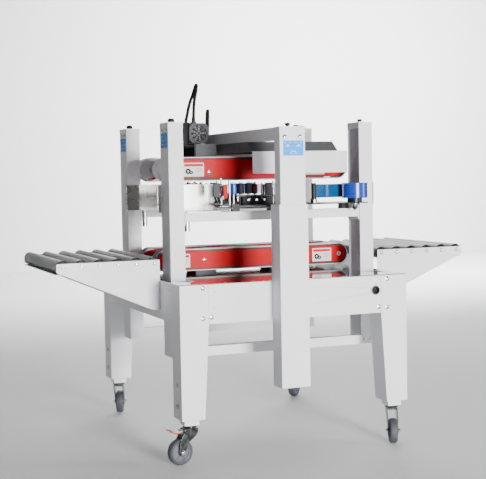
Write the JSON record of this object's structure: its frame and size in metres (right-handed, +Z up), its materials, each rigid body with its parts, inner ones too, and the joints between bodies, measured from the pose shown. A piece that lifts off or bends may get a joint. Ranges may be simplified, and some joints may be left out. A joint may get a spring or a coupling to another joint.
{
  "type": "carton sealer machine",
  "caption": "Belt driven carton sealing machine with a lifting top head on a front column, side tape heads on masts, roller conveyors at both ends and swivel casters.",
  "frame": {"origin": "middle of the machine's bounding box, on the floor", "axes": "+X along the carton's travel, -Y the operator's side, +Z up"},
  "size_m": [1.77, 1.2406, 1.4895],
  "materials": {
    "arm_red": "gloss enamel",
    "belt_black": "matt rubber with pale green edge",
    "black_paint": "satin",
    "cable_black": "matt",
    "inlet_black": "moulded",
    "knob_black": "moulded",
    "motor_black": "satin cast",
    "pedal_red": "moulded",
    "red_paint": "gloss enamel",
    "roller_gray": "satin dark gray sleeve",
    "stainless": "polished stainless sheet",
    "steel_bar": "ground steel",
    "tape_blue": "wound film, glossy",
    "wheel_gray": "gray elastic tread",
    "white_paint": "fine textured powder coat, satin",
    "zinc": "bright zinc plate"
  },
  "bodies": {
    "base": {"base_panels": "white_paint", "deck_plate": "stainless", "outer_legs": "white_paint", "fasteners": "zinc", "power_inlet": "inlet_black", "column_cover": "white_paint", "conveyor_frames": "white_paint", "lower_belt_modules": "red_paint", "lower_belts": "belt_black", "lower_motor": "motor_black", "width_rails": "steel_bar"},
    "legs": {"inner_legs": "white_paint"},
    "lower_drive": {"lower_drive_shaft": "steel_bar"},
    "lower_idler": {"lower_idler_shaft": "steel_bar"},
    "top_head": {"lift_arm": "white_paint", "hood": "white_paint", "upper_belt_modules": "red_paint", "upper_belts": "belt_black", "top_motor": "motor_black", "conduits": "cable_black"},
    "upper_drive": {"upper_drive_shaft": "steel_bar"},
    "upper_idler": {"upper_idler_shaft": "steel_bar"},
    "height_knob": {"height_knob": "knob_black"},
    "brake_pedal": {"brake_pedal": "pedal_red"},
    "front_left_caster": {"front_left_fork": "zinc"},
    "front_left_wheel": {"front_left_wheel": "wheel_gray"},
    "front_right_caster": {"front_right_fork": "zinc"},
    "front_right_wheel": {"front_right_wheel": "wheel_gray"},
    "back_left_caster": {"back_left_fork": "zinc"},
    "back_left_wheel": {"back_left_wheel": "wheel_gray"},
    "back_right_caster": {"back_right_fork": "zinc"},
    "back_right_wheel": {"back_right_wheel": "wheel_gray"},
    "left_roller_1": {"left_roller_1": "roller_gray"},
    "left_roller_2": {"left_roller_2": "roller_gray"},
    "left_roller_3": {"left_roller_3": "roller_gray"},
    "left_roller_4": {"left_roller_4": "roller_gray"},
    "left_roller_5": {"left_roller_5": "roller_gray"},
    "left_roller_6": {"left_roller_6": "roller_gray"},
    "right_roller_1": {"right_roller_1": "roller_gray"},
    "right_roller_2": {"right_roller_2": "roller_gray"},
    "right_roller_3": {"right_roller_3": "roller_gray"},
    "right_roller_4": {"right_roller_4": "roller_gray"},
    "right_roller_5": {"right_roller_5": "roller_gray"},
    "right_roller_6": {"right_roller_6": "roller_gray"},
    "near_frame": {"near_side_frame": "white_paint"},
    "near_screw": {"near_lift_screw": "knob_black"},
    "near_carriage": {"near_side_bar": "white_paint", "near_tape_plate": "black_paint", "near_infeed_guide": "stainless"},
    "near_roll": {"near_tape_roll": "tape_blue"},
    "near_front_arm": {"near_front_arm": "arm_red"},
    "near_rear_arm": {"near_rear_arm": "arm_red"},
    "far_frame": {"far_side_frame": "white_paint"},
    "far_screw": {"far_lift_screw": "knob_black"},
    "far_carriage": {"far_side_bar": "white_paint", "far_tape_plate": "black_paint", "far_infeed_guide": "stainless"},
    "far_roll": {"far_tape_roll": "tape_blue"},
    "far_front_arm": {"far_front_arm": "arm_red"},
    "far_rear_arm": {"far_rear_arm": "arm_red"}
  },
  "joints": [
    {"name": "leg_extend", "type": "slide", "parent": "base", "child": "legs", "axis": [0, 0, -1], "range_m": [0, 0.08]},
    {"name": "front_left_swivel", "type": "hinge", "parent": "legs", "child": "front_left_caster", "pos_m": [-0.432, -0.48529, 0.147], "axis": [0, 0, 1], "continuous": true},
    {"name": "front_left_roll", "type": "hinge", "parent": "front_left_caster", "child": "front_left_wheel", "pos_m": [-0.47504, -0.49444, 0.05], "axis": [-0.2079, 0.9781, 0], "continuous": true},
    {"name": "front_right_swivel", "type": "hinge", "parent": "legs", "child": "front_right_caster", "pos_m": [0.432, -0.48529, 0.147], "axis": [0, 0, 1], "continuous": true},
    {"name": "front_right_roll", "type": "hinge", "parent": "front_right_caster", "child": "front_right_wheel", "pos_m": [0.41595, -0.52626, 0.05], "axis": [-0.9311, 0.3649, 0], "continuous": true},
    {"name": "back_left_swivel", "type": "hinge", "parent": "legs", "child": "back_left_caster", "pos_m": [-0.432, 0.52871, 0.147], "axis": [0, 0, 1], "continuous": true},
    {"name": "back_left_roll", "type": "hinge", "parent": "back_left_caster", "child": "back_left_wheel", "pos_m": [-0.41595, 0.56968, 0.05], "axis": [0.9311, -0.3649, 0], "continuous": true},
    {"name": "back_right_swivel", "type": "hinge", "parent": "legs", "child": "back_right_caster", "pos_m": [0.432, 0.52871, 0.147], "axis": [0, 0, 1], "continuous": true},
    {"name": "back_right_roll", "type": "hinge", "parent": "back_right_caster", "child": "back_right_wheel", "pos_m": [0.46311, 0.55982, 0.05], "axis": [0.7071, -0.7071, 0], "continuous": true},
    {"name": "brake_press", "type": "hinge", "parent": "front_left_caster", "child": "brake_pedal", "pos_m": [-0.46721, -0.49278, 0.1297], "axis": [-0.2079, 0.9781, 0], "range_deg": [-12, 0]},
    {"name": "lower_drive_turn", "type": "hinge", "parent": "base", "child": "lower_drive", "pos_m": [0.3905, 0.02171, 0.7425], "axis": [0, 1, 0], "continuous": true},
    {"name": "lower_idler_turn", "type": "hinge", "parent": "base", "child": "lower_idler", "pos_m": [-0.3905, 0.02171, 0.7425], "axis": [0, 1, 0], "continuous": true},
    {"name": "head_lift", "type": "slide", "parent": "base", "child": "top_head", "axis": [0, 0, 1], "range_m": [-0.035, 0.15]},
    {"name": "upper_drive_turn", "type": "hinge", "parent": "top_head", "child": "upper_drive", "pos_m": [0.3775, 0.02171, 1.1155], "axis": [0, 1, 0], "continuous": true},
    {"name": "upper_idler_turn", "type": "hinge", "parent": "top_head", "child": "upper_idler", "pos_m": [-0.3775, 0.02171, 1.1155], "axis": [0, 1, 0], "continuous": true},
    {"name": "knob_turn", "type": "hinge", "parent": "top_head", "child": "height_knob", "pos_m": [-0.058, -0.59829, 1.267], "axis": [0, 0, 1], "continuous": true},
    {"name": "left_roller_1_spin", "type": "hinge", "parent": "base", "child": "left_roller_1", "pos_m": [-0.861, 0.02171, 0.751], "axis": [0, 1, 0], "continuous": true},
    {"name": "left_roller_2_spin", "type": "hinge", "parent": "base", "child": "left_roller_2", "pos_m": [-0.7885, 0.02171, 0.751], "axis": [0, 1, 0], "continuous": true},
    {"name": "left_roller_3_spin", "type": "hinge", "parent": "base", "child": "left_roller_3", "pos_m": [-0.716, 0.02171, 0.751], "axis": [0, 1, 0], "continuous": true},
    {"name": "left_roller_4_spin", "type": "hinge", "parent": "base", "child": "left_roller_4", "pos_m": [-0.6435, 0.02171, 0.751], "axis": [0, 1, 0], "continuous": true},
    {"name": "left_roller_5_spin", "type": "hinge", "parent": "base", "child": "left_roller_5", "pos_m": [-0.571, 0.02171, 0.751], "axis": [0, 1, 0], "continuous": true},
    {"name": "left_roller_6_spin", "type": "hinge", "parent": "base", "child": "left_roller_6", "pos_m": [-0.4985, 0.02171, 0.751], "axis": [0, 1, 0], "continuous": true},
    {"name": "right_roller_1_spin", "type": "hinge", "parent": "base", "child": "right_roller_1", "pos_m": [0.861, 0.02171, 0.751], "axis": [0, 1, 0], "continuous": true},
    {"name": "right_roller_2_spin", "type": "hinge", "parent": "base", "child": "right_roller_2", "pos_m": [0.7885, 0.02171, 0.751], "axis": [0, 1, 0], "continuous": true},
    {"name": "right_roller_3_spin", "type": "hinge", "parent": "base", "child": "right_roller_3", "pos_m": [0.716, 0.02171, 0.751], "axis": [0, 1, 0], "continuous": true},
    {"name": "right_roller_4_spin", "type": "hinge", "parent": "base", "child": "right_roller_4", "pos_m": [0.6435, 0.02171, 0.751], "axis": [0, 1, 0], "continuous": true},
    {"name": "right_roller_5_spin", "type": "hinge", "parent": "base", "child": "right_roller_5", "pos_m": [0.571, 0.02171, 0.751], "axis": [0, 1, 0], "continuous": true},
    {"name": "right_roller_6_spin", "type": "hinge", "parent": "base", "child": "right_roller_6", "pos_m": [0.4985, 0.02171, 0.751], "axis": [0, 1, 0], "continuous": true},
    {"name": "near_width", "type": "slide", "parent": "base", "child": "near_frame", "axis": [0, -1, 0], "range_m": [-0.04, 0.09]},
    {"name": "near_lift", "type": "slide", "parent": "near_frame", "child": "near_carriage", "axis": [0, 0, 1], "range_m": [-0.1, 0.03]},
    {"name": "near_screw_turn", "type": "hinge", "parent": "near_frame", "child": "near_screw", "pos_m": [-0.412, -0.27429, 1.297], "axis": [0, 0, 1], "range_deg": [-7201, 2161]},
    {"name": "near_roll_spin", "type": "hinge", "parent": "near_carriage", "child": "near_roll", "pos_m": [0.33, -0.38329, 1], "axis": [0, 0, 1], "continuous": true},
    {"name": "near_front_arm_swing", "type": "hinge", "parent": "near_carriage", "child": "near_front_arm", "pos_m": [-0.12, -0.26829, 1.03], "axis": [0, 0, 1], "range_deg": [0, 35], "stiffness_Nm_per_rad": 3},
    {"name": "near_rear_arm_swing", "type": "hinge", "parent": "near_carriage", "child": "near_rear_arm", "pos_m": [0.06, -0.26829, 1.03], "axis": [0, 0, 1], "range_deg": [-35, 0], "stiffness_Nm_per_rad": 3},
    {"name": "far_width", "type": "slide", "parent": "base", "child": "far_frame", "axis": [0, 1, 0], "range_m": [-0.04, 0.09]},
    {"name": "far_lift", "type": "slide", "parent": "far_frame", "child": "far_carriage", "axis": [0, 0, 1], "range_m": [-0.1, 0.03]},
    {"name": "far_screw_turn", "type": "hinge", "parent": "far_frame", "child": "far_screw", "pos_m": [-0.412, 0.31771, 1.297], "axis": [0, 0, 1], "range_deg": [-7201, 2161]},
    {"name": "far_roll_spin", "type": "hinge", "parent": "far_carriage", "child": "far_roll", "pos_m": [0.33, 0.42671, 1], "axis": [0, 0, 1], "continuous": true},
    {"name": "far_front_arm_swing", "type": "hinge", "parent": "far_carriage", "child": "far_front_arm", "pos_m": [-0.12, 0.31171, 1.03], "axis": [0, 0, 1], "range_deg": [-35, 0], "stiffness_Nm_per_rad": 3},
    {"name": "far_rear_arm_swing", "type": "hinge", "parent": "far_carriage", "child": "far_rear_arm", "pos_m": [0.06, 0.31171, 1.03], "axis": [0, 0, 1], "range_deg": [0, 35], "stiffness_Nm_per_rad": 3}
  ],
  "couplings": [
    {"joint": "lower_idler_turn", "follows": "lower_drive_turn", "ratio": 1},
    {"joint": "upper_idler_turn", "follows": "upper_drive_turn", "ratio": 1},
    {"joint": "near_screw_turn", "follows": "near_lift", "rad_per_m": 1256.6},
    {"joint": "far_screw_turn", "follows": "far_lift", "rad_per_m": 1256.6},
    {"joint": "far_width", "follows": "near_width", "ratio": 1}
  ]
}
